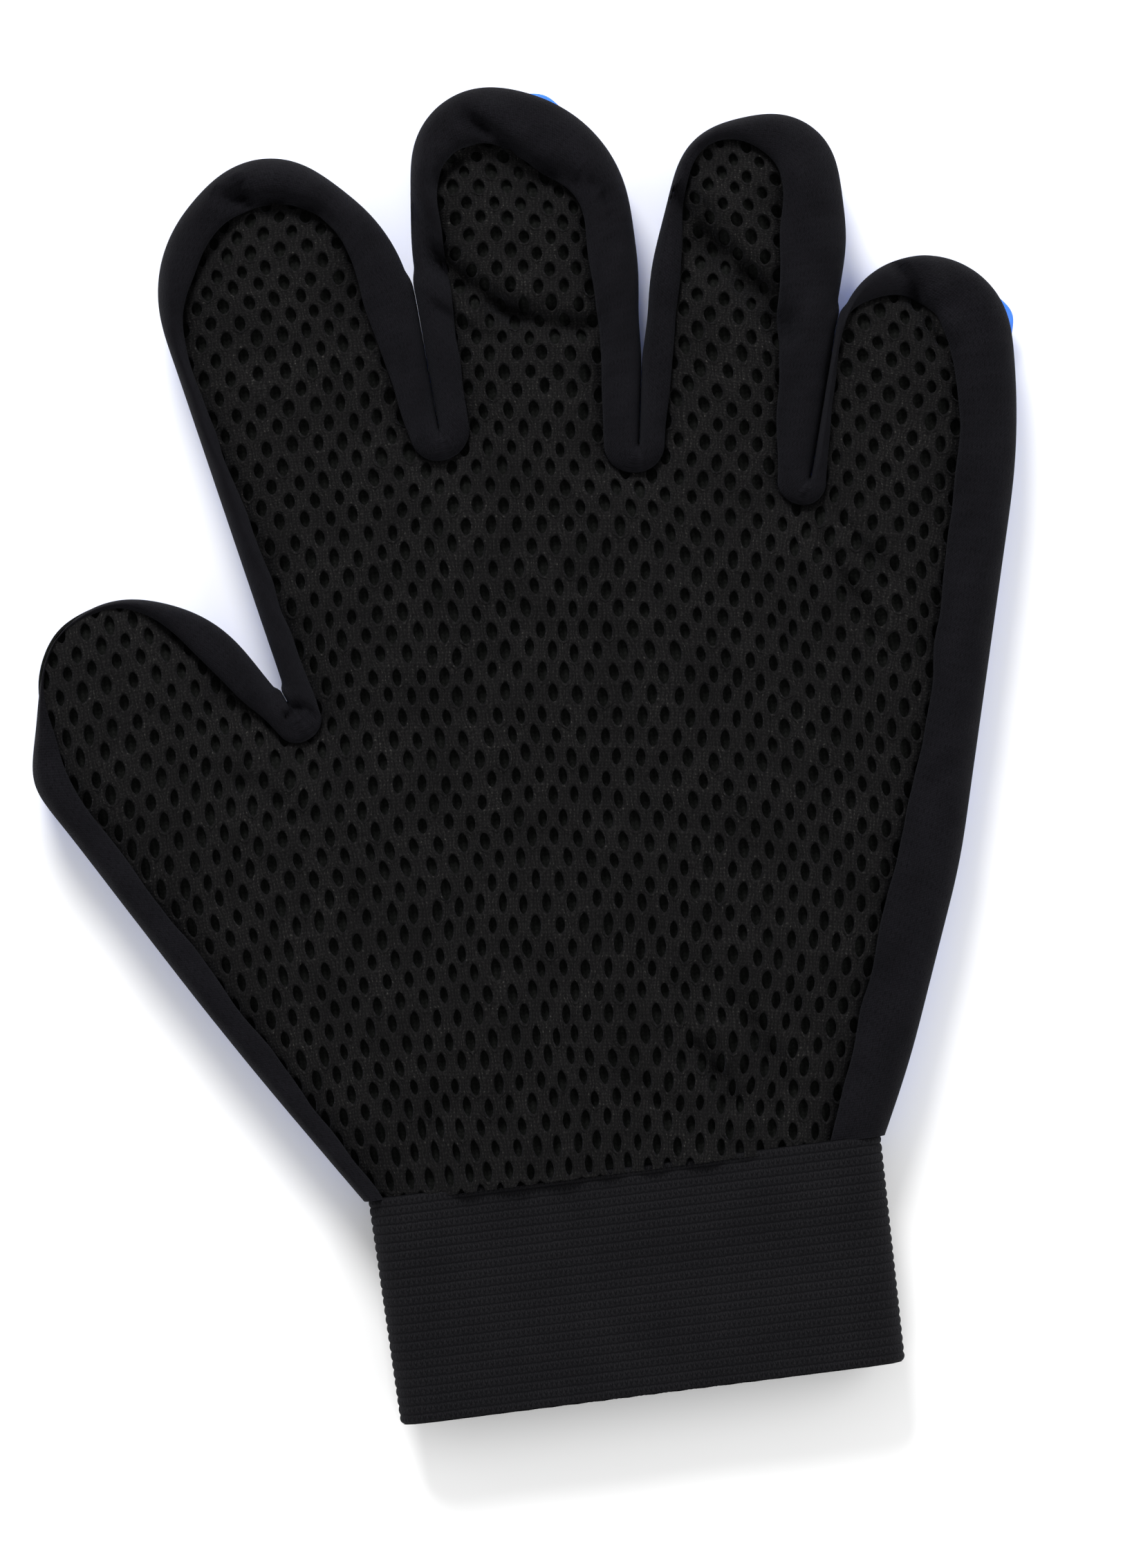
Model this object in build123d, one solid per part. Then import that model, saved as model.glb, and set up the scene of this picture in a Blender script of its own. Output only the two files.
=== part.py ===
"""A right-hand pet grooming glove, lying palm down, in millimetres.

The glove is a boxed mitt with five finger stalls.  A spacer-mesh panel forms the back, a knitted side
strip runs round every finger, and a moulded rubber pad with soft teeth forms the palm.  A 40 mm elastic
cuff closes on the palm side with a hook-and-loop tab.

+X points to the little finger, +Y to the fingertips and +Z out of the back of the hand.  The origin is
the centre of the footprint, on the surface that the teeth stand on.  Panels are cut into rigid segments
at the creases where the fabric bends.
"""

import os
from math import asin, atan2, cos, hypot, pi, radians, sin

from build123d import *

# ---- driving dimensions -------------------------------------------------------------------------
TOOTH_HEIGHT = 5.0
TOOTH_ROOT_R = 1.5
TOOTH_TIP_R = 1.0
TOOTH_PITCH = 8.6
ROW_STEP = 0.866
TOOTH_TO_EDGE = 3.0
TOOTH_TO_CREASE = 4.2
PAD_THICK = 1.5
PAD_INSET = 1.2
LINING_THICK = 0.6
STRIP_THICK = 1.2
SEAM_INSET = 2.4
MESH_THICK = 2.6
TOP_Z = 18.5
TOP_ROUND = 5.4

SLOT_R = 1.0
CREASE_GAP = 0.8

WRIST_Y = -76.0
CUFF_END_Y = -115.7
CUFF_LEFT, CUFF_RIGHT = -41.3, 49.6
CUFF_WALL = 1.6
CUFF_LOW_Z, CUFF_TOP_Z = 4.4, 17.0

MOUTH_MARGIN = 4.0

TAB_ROOT_X, TAB_END_X = -33.0, 10.0
TAB_LOW_Z = 0.5
TAB_RAMP = 10.0
TAB_MARGIN = 0.6
FIXED_END_X = -19.0
LOOP_LEFT, LOOP_RIGHT = -17.0, 20.0
HOOK_LEFT, HOOK_RIGHT = -16.0, 8.5
LOOP_THICK, HOOK_THICK = 1.2, 0.8
PATCH_MARGIN = 4.0
PART_GAP = 0.5

# ---- levels -------------------------------------------------------------------------------------
PAD_LOW_Z = TOOTH_HEIGHT
PAD_TOP_Z = PAD_LOW_Z + PAD_THICK
LINING_TOP_Z = PAD_TOP_Z + LINING_THICK

# ---- outlines -----------------------------------------------------------------------------------
# Each outline is a string pulled tight round pegs, clockwise from the thumb side of the wrist: a
# fingertip peg is inside the string and a crotch peg is outside it.  (name, x, y, radius, inside)
HEM_THUMB, HEM_LITTLE = (-42.0, WRIST_Y), (50.3, WRIST_Y)
OUTLINE_PEGS = [
    ("thumb flank", 605.0, 366.0, 783.4, True),
    ("thumb corner", -84.5, 5.0, 6.0, True),
    ("thumb tip", -71.0, 18.0, 16.3, True),
    ("thumb cheek", -70.9, 9.8, 24.0, True),
    ("thumb web", -44.3, 12.8, SLOT_R, False),
    ("index side", -34.2, 84.0, 23.8, True),
    ("index tip", -37.0, 93.0, 15.1, True),
    ("index cheek", -43.1, 78.6, 29.7, True),
    ("index web", -11.8, 57.0, SLOT_R, False),
    ("middle flank", 41.0, 86.5, 53.6, True),
    ("middle tip", 3.0, 101.7, 14.0, True),
    ("middle shoulder", 2.0, 90.9, 24.5, True),
    ("middle side", 8.5, 82.0, 18.1, True),
    ("middle web", 22.8, 50.0, SLOT_R, False),
    ("ring flank", 66.6, 69.5, 39.3, True),
    ("ring tip", 46.5, 92.0, 12.3, True),
    ("ring shoulder", 51.8, 93.0, 11.8, True),
    ("ring side", 40.0, 84.5, 23.7, True),
    ("ring web", 52.0, 40.5, SLOT_R, False),
    ("little tip", 74.85, 61.3, 15.4, True),
    ("little flank", -27.0, 61.5, 117.2, True),
    ("heel", -44.8, 8.0, 120.3, True),
    ("wrist", -110.6, 9.5, 182.1, True),
]
SEAM_THUMB, SEAM_LITTLE = (-39.0, WRIST_Y), (41.3, WRIST_Y)
SEAM_PEGS = [
    ("thumb corner", -68.0, 9.0, 17.5, True),
    ("thumb tip", -73.0, 19.5, 13.5, True),
    ("thumb web", -43.0, 9.8, 3.9, False),
    ("index side", -35.5, 79.0, 19.0, True),
    ("index tip", -37.0, 86.5, 14.0, True),
    ("index web", -11.8, 57.0, 4.9, False),
    ("middle tip", 1.0, 98.5, 8.3, True),
    ("middle shoulder", 10.5, 91.5, 7.7, True),
    ("middle side", 3.0, 72.0, 16.0, True),
    ("middle web", 22.0, 50.6, 4.8, False),
    ("ring tip", 44.5, 93.5, 8.0, True),
    ("ring shoulder", 47.0, 93.3, 6.8, True),
    ("ring web", 50.4, 40.5, 4.0, False),
    ("little tip", 69.5, 61.0, 10.0, True),
    ("little side", 66.0, 48.0, 14.0, True),
    ("heel", -77.0, 37.0, 150.0, True),
]

# ---- creases ------------------------------------------------------------------------------------
# A crease is a straight fold across a finger stall: its middle, and the way the stall points there,
# in degrees anticlockwise from +Y.  A stall's creases run from the knuckle to the tip.
STALLS = {
    "thumb": [(-64.5, 3.2, 36.0)],
    "index": [(-33.3, 60.5, 4.0), (-36.0, 84.5, 4.0)],
    "middle": [(6.0, 60.5, -1.0), (7.0, 87.5, -1.0)],
    "ring": [(38.3, 51.0, -14.5), (45.8, 78.5, -14.5)],
    "little": [(70.0, 41.0, -12.0), (74.0, 60.5, -12.0)],
}
PALM = (5.0, -20.0)
REACH = 150.0
CUT_SPARE = 0.3


# ---- plan shapes --------------------------------------------------------------------------------
def string_runs(start, pegs, end, grow):
    """The straight runs of a string from start round the pegs to end, and its signed pegs."""
    stops = [(*start, grow)]
    stops += [(x, y, radius + grow if inside else grow - radius) for _, x, y, radius, inside in pegs]
    stops += [(*end, grow)]
    runs = []
    for (x1, y1, s1), (x2, y2, s2) in zip(stops, stops[1:]):
        way = atan2(y2 - y1, x2 - x1) - asin((s1 - s2) / hypot(x2 - x1, y2 - y1))
        left = (-sin(way), cos(way))
        leave = (x1 + s1 * left[0], y1 + s1 * left[1])
        arrive = (x2 + s2 * left[0], y2 + s2 * left[1])
        runs.append((leave, arrive, way))
    return stops, runs


def string_face(start, pegs, end, grow=0.0):
    """The face inside a string, with its whole edge moved out by grow."""
    stops, runs = string_runs(start, pegs, end, grow)
    edges = []
    for (leave, arrive, way), (x, y, side), following in zip(runs, stops[1:], runs[1:]):
        turn = (way - following[2]) % (2 * pi)
        if side < 0:
            turn -= 2 * pi
        middle = way + pi / 2 - turn / 2
        crown = (x + side * cos(middle), y + side * sin(middle))
        edges.append(Line(leave, arrive))
        edges.append(ThreePointArc(arrive, crown, following[0]))
    edges.append(Line(runs[-1][0], runs[-1][1]))
    edges.append(Line(runs[-1][1], runs[0][0]))
    return make_face(edges)


def glove_face(grow=0.0):
    return string_face(HEM_THUMB, OUTLINE_PEGS, HEM_LITTLE, grow)


def seam_face():
    """The area inside the seam, held in from the outline but reaching down to the wrist."""
    held_in = glove_face(-SEAM_INSET)
    hem = Pos((SEAM_THUMB[0] + SEAM_LITTLE[0]) / 2, WRIST_Y)
    hem *= Rectangle(SEAM_LITTLE[0] - SEAM_THUMB[0] - 2, 6 * SEAM_INSET)
    return string_face(SEAM_THUMB, SEAM_PEGS, SEAM_LITTLE) & (held_in + hem)


def column(face, low, high):
    return extrude(Pos(0, 0, low) * face, high - low)


def ahead(crease, distance):
    """A spot on a stall's middle line, past a crease."""
    x, y, angle = crease
    return (x - distance * sin(radians(angle)), y + distance * cos(radians(angle)))


def beyond(crease, clear):
    """The half of the plan that lies past a crease, starting clear of it."""
    x, y = ahead(crease, clear + REACH / 2)
    return Pos(x, y) * Rot(0, 0, crease[2]) * Rectangle(2 * REACH, REACH)


def pick(areas, spot):
    """The one face that holds a spot."""
    return next(face for face in areas.faces() if face.is_inside(Vector(*spot)))


def segment_areas(grow, clear):
    """The plan area of every rigid segment, with its edge moved out by grow and clear of creases."""
    whole = glove_face(grow)
    palm = whole
    areas = {}
    for stall, creases in STALLS.items():
        names = [stall] if len(creases) == 1 else [stall + "_base", stall + "_tip"]
        palm -= pick(whole & beyond(creases[0], -clear), ahead(creases[0], 5))
        for i, crease in enumerate(creases):
            area = pick(whole & beyond(crease, clear), ahead(crease, 5))
            if i + 1 < len(creases):
                area -= beyond(creases[i + 1], -clear)
            areas[names[i]] = area
    areas["hand"] = pick(palm, PALM)
    return areas


# ---- layers of the whole glove --------------------------------------------------------------------
def rounded_box(grow, low, high, radius):
    """The glove's plan as a thick plate whose top edge is rounded, except at the wrist."""
    box = column(glove_face(grow), low, high)
    rim = box.faces().sort_by(Axis.Z)[-1].outer_wire().edges()
    curved = [edge for edge in rim if abs(edge.center().Y - WRIST_Y) > 1.0]
    return fillet(curved, radius)


def fabric_shell():
    """The hollow fabric box: open at the wrist, and open below, where the palm closes it."""
    outer = rounded_box(0.0, PAD_TOP_Z, TOP_Z, TOP_ROUND)
    cavity = rounded_box(-STRIP_THICK, PAD_TOP_Z, TOP_Z - MESH_THICK, TOP_ROUND - STRIP_THICK)
    middle_x = (HEM_THUMB[0] + HEM_LITTLE[0]) / 2
    width = HEM_LITTLE[0] - HEM_THUMB[0] - 2 * MOUTH_MARGIN
    height = TOP_Z - MESH_THICK - PAD_TOP_Z
    mouth = Pos(middle_x, WRIST_Y, PAD_TOP_Z + height / 2) * Box(width, 12.0, height)
    return outer - cavity - mouth


def tooth():
    return Cone(TOOTH_TIP_R, TOOTH_ROOT_R, TOOTH_HEIGHT + 0.2, align=(Align.CENTER, Align.CENTER, Align.MIN))


def tooth_spots():
    """A staggered grid of spots that covers the plan."""
    rows = int(REACH / (TOOTH_PITCH * ROW_STEP))
    for row in range(-rows, rows + 1):
        shift = TOOTH_PITCH / 2 if row % 2 else 0.0
        for place in range(-12, 13):
            yield (place * TOOTH_PITCH + shift, row * TOOTH_PITCH * ROW_STEP)


def pad(area, tooth_area):
    """A moulded sheet with soft teeth on its underside."""
    teeth = [Pos(*spot, 0) * tooth() for spot in tooth_spots() if tooth_area.is_inside(Vector(*spot))]
    return column(area, PAD_LOW_Z, PAD_TOP_Z).fuse(*teeth)


# ---- cuff -----------------------------------------------------------------------------------------
def stadium(inset):
    """The flat oval section of the cuff, as a solid along its whole length."""
    width = CUFF_RIGHT - CUFF_LEFT - 2 * inset
    height = CUFF_TOP_Z - CUFF_LOW_Z - 2 * inset
    middle = ((CUFF_LEFT + CUFF_RIGHT) / 2, (CUFF_LOW_Z + CUFF_TOP_Z) / 2)
    section = Plane.XZ * Pos(*middle) * RectangleRounded(width, height, height / 2 - 0.01)
    return Pos(0, WRIST_Y, 0) * extrude(section, WRIST_Y - CUFF_END_Y)


def slab(left, right, low, high, margin):
    """A flat strip across the cuff, held back by margin from both of its edges."""
    length = WRIST_Y - CUFF_END_Y - 2 * margin
    middle = ((left + right) / 2, (WRIST_Y + CUFF_END_Y) / 2, (low + high) / 2)
    return Pos(*middle) * Box(right - left, length, high - low)


def cuff_band():
    """A flat oval elastic tube, with its palm side cut away between the tab's root and the free edge."""
    tube = stadium(0.0) - stadium(CUFF_WALL)
    gap_left = TAB_ROOT_X - CUFF_WALL / 2 - PART_GAP
    return tube - slab(gap_left, FIXED_END_X, CUFF_LOW_Z - 1, CUFF_LOW_Z + CUFF_WALL + 1, -1.0)


def cuff_tab():
    """The elastic's free end: a round nose at its fold, a slope down, and a flat run under the cuff."""
    half = CUFF_WALL / 2
    high, low = CUFF_LOW_Z + half, TAB_LOW_Z + half
    bends = [(TAB_ROOT_X, high), (TAB_ROOT_X + 2, high), (TAB_ROOT_X + TAB_RAMP, low), (TAB_END_X, low)]
    top = [(x, z + half) for x, z in bends]
    bottom = [(x, z - half) for x, z in reversed(bends)]
    length = WRIST_Y - CUFF_END_Y - 2 * TAB_MARGIN
    ribbon = extrude(Plane.XZ * make_face(Polyline(*top, *bottom, close=True)), length)
    nose = extrude(Plane.XZ * Pos(TAB_ROOT_X, high) * Circle(half), length)
    return Pos(0, WRIST_Y - TAB_MARGIN, 0) * (ribbon + nose)


# ---- parts ----------------------------------------------------------------------------------------
WEB_NAMES = ["thumb_side", "thumb_web", "index_web", "middle_web", "ring_web", "little_side"]


def strips(piece, body):
    """A segment's side strip as separate solids, named from the thumb side to the little side."""
    solids = piece.solids().sort_by(Axis.X)
    if body == "hand":
        names = [name + "_strip" for name in WEB_NAMES]
    elif len(solids) == 1:
        names = [body + "_strip"]
    else:
        names = [body + "_strip_inner", body + "_strip_outer"]
    return dict(zip(names, solids, strict=True))


def glove_parts():
    """Every sewn piece of every segment, by name."""
    shell = fabric_shell()
    seam = column(seam_face(), PAD_TOP_Z, TOP_Z + 1)
    panel = shell & seam
    strip = shell - seam
    lining = column(glove_face(-STRIP_THICK), PAD_TOP_Z, LINING_TOP_Z)
    cuts = segment_areas(CUT_SPARE, CREASE_GAP / 2)
    pads = segment_areas(-PAD_INSET, CREASE_GAP / 2)
    tooth_areas = segment_areas(-TOOTH_TO_EDGE, TOOTH_TO_CREASE)
    parts = {}
    for body, area in cuts.items():
        cutter = column(area, PAD_LOW_Z - 1, TOP_Z + 2)
        parts[body + "_back_mesh"] = panel & cutter
        parts[body + "_palm_cloth"] = lining & cutter
        parts[body + "_rubber_pad"] = pad(pads[body], tooth_areas[body])
        parts.update(strips(strip & cutter, body))
    return parts


def cuff_parts():
    loop_top = CUFF_LOW_Z
    loop_low = loop_top - LOOP_THICK
    hook_low = TAB_LOW_Z + CUFF_WALL
    return {
        "cuff_band": cuff_band(),
        "loop_tape": slab(LOOP_LEFT, LOOP_RIGHT, loop_low, loop_top, PATCH_MARGIN),
        "cuff_tab": cuff_tab(),
        "hook_tape": slab(HOOK_LEFT, HOOK_RIGHT, hook_low, hook_low + HOOK_THICK, PATCH_MARGIN),
    }


os.makedirs("parts", exist_ok=True)
for name, shape in {**glove_parts(), **cuff_parts()}.items():
    export_step(shape, f"parts/{name}.step")
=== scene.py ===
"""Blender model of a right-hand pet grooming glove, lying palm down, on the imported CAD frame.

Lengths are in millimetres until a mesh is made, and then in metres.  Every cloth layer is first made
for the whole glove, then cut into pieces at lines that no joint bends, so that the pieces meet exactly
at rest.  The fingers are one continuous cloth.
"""

import math
from collections import namedtuple
from contextlib import contextmanager

import bmesh
import bpy
import numpy as np
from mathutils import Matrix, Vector, geometry, kdtree, noise


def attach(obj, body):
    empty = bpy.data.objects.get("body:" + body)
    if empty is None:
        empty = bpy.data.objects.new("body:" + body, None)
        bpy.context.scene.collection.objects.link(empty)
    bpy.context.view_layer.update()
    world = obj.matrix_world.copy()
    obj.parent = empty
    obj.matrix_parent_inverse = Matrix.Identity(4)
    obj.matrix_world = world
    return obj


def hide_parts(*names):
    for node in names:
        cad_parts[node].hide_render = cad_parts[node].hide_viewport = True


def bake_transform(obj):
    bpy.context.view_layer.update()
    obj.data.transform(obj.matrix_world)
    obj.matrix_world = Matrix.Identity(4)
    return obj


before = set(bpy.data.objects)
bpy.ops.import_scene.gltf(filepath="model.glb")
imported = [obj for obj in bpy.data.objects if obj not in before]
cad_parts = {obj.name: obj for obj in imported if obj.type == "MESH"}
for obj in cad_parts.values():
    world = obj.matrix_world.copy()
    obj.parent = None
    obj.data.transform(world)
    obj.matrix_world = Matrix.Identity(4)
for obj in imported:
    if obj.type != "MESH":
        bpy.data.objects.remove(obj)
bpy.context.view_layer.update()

MM = 0.001

# ---- outlines, as in the CAD model, but with closed slots between the fingers ---------------------
# Each outline is a string pulled tight round pegs, clockwise from the thumb side of the wrist.
# (name, x, y, radius, inside): a fingertip peg is inside the string, and a crotch peg outside it.
SLOT_R = 0.2
HEM_THUMB, HEM_LITTLE = (-42.0, -76.0), (50.3, -76.0)
OUTLINE_PEGS = [
    ("thumb flank", 605.0, 366.0, 783.4, True),
    ("thumb corner", -84.5, 5.0, 6.0, True),
    ("thumb tip", -71.0, 18.0, 16.3, True),
    ("thumb cheek", -70.9, 9.8, 24.0, True),
    ("thumb web", -44.3, 12.8, SLOT_R, False),
    ("index side", -34.2, 84.0, 23.8, True),
    ("index tip", -37.0, 93.0, 15.1, True),
    ("index cheek", -43.1, 78.6, 29.7, True),
    ("index web", -11.8, 57.0, SLOT_R, False),
    ("middle flank", 41.0, 86.5, 53.6, True),
    ("middle tip", 3.0, 101.7, 14.0, True),
    ("middle shoulder", 2.0, 90.9, 24.5, True),
    ("middle side", 8.5, 82.0, 18.1, True),
    ("middle web", 22.8, 50.0, SLOT_R, False),
    ("ring flank", 66.6, 69.5, 39.3, True),
    ("ring tip", 46.5, 92.0, 12.3, True),
    ("ring shoulder", 51.8, 93.0, 11.8, True),
    ("ring side", 40.0, 84.5, 23.7, True),
    ("ring web", 52.0, 40.5, SLOT_R, False),
    ("little tip", 74.85, 61.3, 15.4, True),
    ("little flank", -27.0, 61.5, 117.2, True),
    ("heel", -44.8, 8.0, 120.3, True),
    ("wrist", -110.6, 9.5, 182.1, True),
]
SEAM_THUMB, SEAM_LITTLE = (-39.0, -76.0), (41.3, -76.0)
SEAM_PEGS = [
    ("thumb corner", -68.0, 9.0, 17.5, True),
    ("thumb tip", -73.0, 19.5, 13.5, True),
    ("thumb web", -43.0, 9.8, 3.9, False),
    ("index side", -35.5, 79.0, 19.0, True),
    ("index tip", -37.0, 86.5, 14.0, True),
    ("index web", -11.8, 57.0, 4.9, False),
    ("middle tip", 1.0, 98.5, 8.3, True),
    ("middle shoulder", 10.5, 91.5, 7.7, True),
    ("middle side", 3.0, 72.0, 16.0, True),
    ("middle web", 22.0, 50.6, 4.8, False),
    ("ring tip", 44.5, 93.5, 8.0, True),
    ("ring shoulder", 47.0, 93.3, 6.8, True),
    ("ring web", 50.4, 40.5, 4.0, False),
    ("little tip", 69.5, 61.0, 10.0, True),
    ("little side", 66.0, 48.0, 14.0, True),
    ("heel", -77.0, 37.0, 150.0, True),
]
ANCHORS = [
    "thumb corner", "thumb tip", "thumb web", "index side", "index tip", "index web", "middle tip",
    "middle web", "ring tip", "ring web", "little tip",
]

# ---- how the cloth is cut at the joints ------------------------------------------------------------
# The creases of each stall: (x, y of the joint's spot, the way the stall points in degrees).
CREASES = {
    "thumb": [(-64.5, 3.2, 36.0)],
    "index": [(-33.3, 60.5, 4.0), (-36.0, 84.5, 4.0)],
    "middle": [(6.0, 60.5, -1.0), (7.0, 87.5, -1.0)],
    "ring": [(38.3, 51.0, -14.5), (45.8, 78.5, -14.5)],
    "little": [(70.0, 41.0, -12.0), (74.0, 60.5, -12.0)],
}
# The lines between neighbouring stalls, from the crotch up, as (y, x): the thumb's first.
LANES = [
    [(12.0, -44.3), (40.0, -57.0)],
    [(57.0, -11.8), (95.0, -13.2)],
    [(50.0, 22.8), (75.0, 27.0), (100.0, 31.0)],
    [(40.5, 52.0), (62.0, 57.6), (75.0, 62.5), (100.0, 68.0)],
]
# Where the cloth bends at a knuckle and at a fingertip, and where it is cut, from the joint's spot.
KNUCKLE_BEND, KNUCKLE_CUT = (-2.0, 8.0), -2.0
TIP_BEND, TIP_CUT = (-4.5, 4.5), -8.0
# A cut divides only the faces whose middles are nearer to it than this.
CUT_REACH = 6.0

# ---- heights ---------------------------------------------------------------------------------------
PAD_LOW, PAD_TOP = 5.0, 6.5
PALM_CLOTH_Z = 7.0
STRIP_FOOT, STRIP_FOOT_INSET = 6.6, 1.3
STRIP_WIDEST = 11.2
SEAM_Z = 14.9
PANEL_RISE = 2.9
LOWEST_PANEL, LOWEST_STRIP = 9.6, 8.6
MESH_DEEP = 2.0


# ==== strings and plan shapes =======================================================================
def smooth(low, high, x):
    """0 at low and 1 at high, with a soft step between.  low may be the larger."""
    t = np.clip((x - low) / (high - low), 0.0, 1.0)
    return t * t * (3 - 2 * t)


def bell(x):
    """1 at 0, and next to nothing beyond 2 on either side."""
    return np.exp(-(x**2))


def waves(points, size, seed):
    """Smooth uneven relief from -1 to 1, with bumps about size across."""
    return np.array([noise.noise((x / size, y / size, seed)) for x, y in points[:, :2]])


def string_points(start, pegs, end, step=0.4):
    """Points along a string round pegs, and where each peg's arc has its middle."""
    stops = [(*start, 0.0)]
    stops += [(x, y, r if inside else -r) for _, x, y, r, inside in pegs]
    stops += [(*end, 0.0)]
    runs = []
    for (x1, y1, s1), (x2, y2, s2) in zip(stops, stops[1:]):
        way = math.atan2(y2 - y1, x2 - x1) - math.asin((s1 - s2) / math.hypot(x2 - x1, y2 - y1))
        left = (-math.sin(way), math.cos(way))
        leave = (x1 + s1 * left[0], y1 + s1 * left[1])
        arrive = (x2 + s2 * left[0], y2 + s2 * left[1])
        runs.append((leave, arrive, way))
    points, marks = [], {}
    for i, (leave, arrive, way) in enumerate(runs):
        pieces = max(1, round(math.dist(leave, arrive) / step))
        for k in range(pieces):
            f = k / pieces
            points.append((leave[0] + f * (arrive[0] - leave[0]), leave[1] + f * (arrive[1] - leave[1])))
        if i == len(runs) - 1:
            points.append(arrive)
            break
        x, y, side = stops[i + 1]
        turn = (way - runs[i + 1][2]) % (2 * math.pi)
        if side < 0:
            turn -= 2 * math.pi
        halves = max(3, math.ceil(abs(turn * side) / step / 2))
        marks[pegs[i][0]] = len(points) + halves
        for k in range(2 * halves):
            angle = way + math.pi / 2 - turn * k / (2 * halves)
            points.append((x + side * math.cos(angle), y + side * math.sin(angle)))
    return np.array(points), marks


def run_along(line):
    """How far along a line each of its points is."""
    return np.concatenate([[0.0], np.cumsum(np.linalg.norm(np.diff(line, axis=0), axis=1))])


def spread(points, count, turning=0.0):
    """count + 1 points along a line, spaced evenly by length plus turning millimetres a radian."""
    steps = np.diff(points, axis=0)
    way = np.unwrap(np.arctan2(steps[:, 1], steps[:, 0]))
    gaps = np.hypot(*steps.T) + turning * np.abs(np.diff(way, prepend=way[0]))
    along = np.concatenate([[0.0], np.cumsum(gaps)])
    wanted = np.linspace(0.0, along[-1], count + 1)
    return np.stack([np.interp(wanted, along, points[:, 0]), np.interp(wanted, along, points[:, 1])], 1)


def softened(line, pegs, reach=36):
    """A string with the corners between its arcs rounded off, but not in the crotches."""
    kernel = np.exp(-0.5 * (np.arange(-reach, reach + 1) / (reach / 4)) ** 2)
    kernel /= kernel.sum()

    def blurred(points):
        padded = np.pad(points, ((reach, reach), (0, 0)), mode="reflect", reflect_type="odd")
        return np.stack([np.convolve(column, kernel, "valid") for column in padded.T], 1)

    once = blurred(line)
    round_line = 2 * once - blurred(once)
    webs = np.array([(x, y, r) for _, x, y, r, inside in pegs if not inside])
    near = np.hypot(line[:, None, 0] - webs[:, 0], line[:, None, 1] - webs[:, 1]) - webs[:, 2]
    weight = smooth(1.5, 10.0, near.min(1))[:, None]
    return line + weight * (round_line - line)


def matched_strings(step):
    """The outline and the seam as rows of points that face each other, peg by peg."""
    outer, outer_marks = string_points(HEM_THUMB, OUTLINE_PEGS, HEM_LITTLE)
    inner, inner_marks = string_points(SEAM_THUMB, SEAM_PEGS, SEAM_LITTLE)
    outer = softened(outer, OUTLINE_PEGS)
    inner = softened(inner, SEAM_PEGS)
    inner += 0.45 * waves(inner, 7.0, 12.5)[:, None] * normals_of(inner)
    outer_stops = [0] + [outer_marks[name] for name in ANCHORS] + [len(outer) - 1]
    inner_stops = [0] + [inner_marks[name] for name in ANCHORS] + [len(inner) - 1]
    rows = []
    for a, b, c, d in zip(outer_stops, outer_stops[1:], inner_stops, inner_stops[1:]):
        count = max(2, round(run_along(outer[a : b + 1])[-1] / step))
        pair = spread(outer[a : b + 1], count, 1.5), spread(inner[c : d + 1], count)
        rows.append(np.hstack(pair)[:-1])
    rows.append(np.hstack([outer[-1:], inner[-1:]]))
    rows = np.vstack(rows)
    return rows[:, :2], rows[:, 2:]


def normals_of(line):
    """The unit vectors that point out of a clockwise line, to its left."""
    along = np.gradient(line, axis=0)
    along /= np.maximum(np.hypot(*along.T), 1e-9)[:, None]
    return np.stack([-along[:, 1], along[:, 0]], 1)


class Edge:
    """A line to measure distances from: inside, on its right, is positive."""

    def __init__(self, line):
        self.line = line
        self.out = normals_of(line)
        self.tree = kdtree.KDTree(len(line))
        for i, (x, y) in enumerate(line):
            self.tree.insert((x, y, 0.0), i)
        self.tree.balance()

    def measure(self, points):
        """For each point, how far inside it is, and the nearest spot of the line as an index."""
        nearest = np.array([self.tree.find((x, y, 0.0))[1] for x, y in points[:, :2]])
        offset = points[:, :2] - self.line[nearest]
        out = (offset * self.out[nearest]).sum(1)
        return -np.sign(out) * np.hypot(*offset.T), nearest


outline, seam = matched_strings(0.65)
SEAM = Edge(spread(seam, 2400))
# How wide the strip is beside each point of the seam.
STRIP_WIDTH = np.abs(Edge(outline).measure(SEAM.line)[0])


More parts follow.
